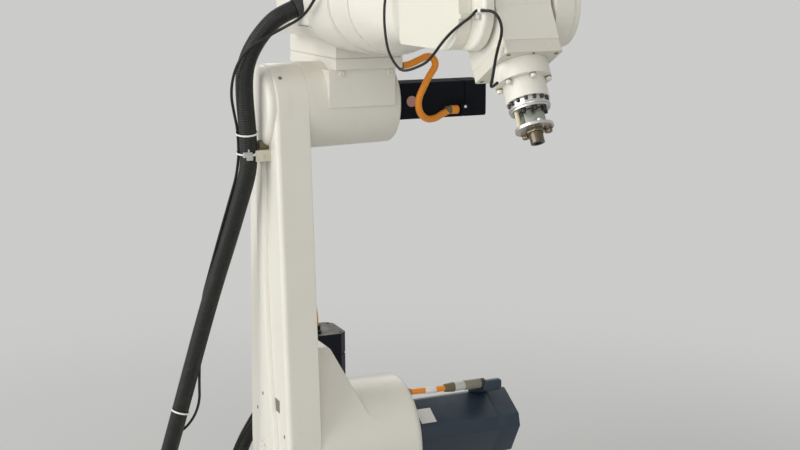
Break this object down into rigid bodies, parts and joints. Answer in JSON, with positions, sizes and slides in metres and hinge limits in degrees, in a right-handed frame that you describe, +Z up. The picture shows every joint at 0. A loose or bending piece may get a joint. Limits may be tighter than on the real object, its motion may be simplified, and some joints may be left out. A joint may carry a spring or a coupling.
{
  "type": "articulated industrial robot arm",
  "caption": "Floor-standing white articulated robot arm with black servo motors, a ribbed conduit at its side and a small steel dispensing tool on its wrist.",
  "frame": {"origin": "on the turret's turning axis, at the underside of the base flange", "axes": "+Z up, +X the way the arm reaches from the turret, +Y towards the shoulder and elbow motors"},
  "size_m": [1.1622, 0.6916, 1.375],
  "materials": {
    "cast_paint": "satin warm white paint",
    "arm_paint": "satin warm white paint",
    "motor_black": "satin black",
    "box_grey": "satin grey",
    "conduit_black": "ribbed matt black",
    "lead_orange": "matt orange",
    "cable_black": "matt black",
    "connector_grey": "satin grey-green",
    "clip_white": "matt white",
    "gland_black": "matt black",
    "beige_plastic": "matt beige",
    "tool_steel": "bright machined"
  },
  "bodies": {
    "base": {"base_casting": "cast_paint", "base_rear_housing": "cast_paint", "base_connector_panel": "box_grey"},
    "turret": {"turret_casting": "cast_paint", "j1_motor": "motor_black", "j2_motor_flange": "tool_steel", "j2_motor": "motor_black", "terminal_box": "box_grey", "terminal_bracket": "box_grey", "terminal_gland": "gland_black", "conduit_lower": "conduit_black", "sensor_cable_lower": "cable_black", "j1_lead": "lead_orange", "j2_lead": "lead_orange", "j2_plug": "connector_grey"},
    "lower_arm": {"lower_arm_casting": "arm_paint", "arm_elbow_cap": "arm_paint", "arm_panel": "arm_paint", "hose_saddle": "beige_plastic"},
    "elbow": {"elbow_drum": "arm_paint", "elbow_housing": "arm_paint", "j3_motor": "motor_black", "j4_motor": "motor_black", "elbow_gland": "gland_black", "j3_lead": "lead_orange", "j3_plug": "lead_orange", "conduit_upper": "conduit_black", "sensor_cable_upper": "cable_black"},
    "forearm": {"forearm_gear_ring": "arm_paint", "forearm_casting": "arm_paint", "forearm_belt_cover": "arm_paint", "forearm_side_cover": "arm_paint", "cable_clip": "clip_white", "wrist_cable_rear": "cable_black"},
    "hand": {"hand_block": "arm_paint", "hand_plate": "arm_paint", "wrist_ring": "arm_paint", "wrist_reducer": "arm_paint", "wrist_cable_front": "cable_black"},
    "tool": {"tool_flange": "tool_steel", "tool_disc": "tool_steel", "tool_body": "tool_steel", "tool_plate": "tool_steel", "tool_nozzle": "tool_steel"}
  },
  "joints": [
    {"name": "j1_turret", "type": "hinge", "parent": "base", "child": "turret", "pos_m": [0, 0, 0], "axis": [0, 0, 1], "range_deg": [-170, 170]},
    {"name": "j2_lower_arm", "type": "hinge", "parent": "turret", "child": "lower_arm", "pos_m": [0.15, 0, 0.45], "axis": [0, 1, 0], "range_deg": [-60, 85], "deforming": ["conduit_lower", "sensor_cable_lower"]},
    {"name": "j3_elbow", "type": "hinge", "parent": "lower_arm", "child": "elbow", "pos_m": [0.15, 0, 1.09], "axis": [0, -1, 0], "range_deg": [-75, 85], "deforming": ["conduit_upper", "sensor_cable_upper"]},
    {"name": "j4_forearm", "type": "hinge", "parent": "elbow", "child": "forearm", "pos_m": [0.36, 0, 1.283], "axis": [1, 0, 0], "range_deg": [-150, 150]},
    {"name": "j5_hand", "type": "hinge", "parent": "forearm", "child": "hand", "pos_m": [0.797, 0, 1.283], "axis": [0, 1, 0], "range_deg": [-175, 50], "deforming": ["wrist_cable_front"]},
    {"name": "j6_tool", "type": "hinge", "parent": "hand", "child": "tool", "pos_m": [0.797, 0, 1.283], "axis": [0.4772, 0, -0.8788], "range_deg": [-180, 180]}
  ]
}
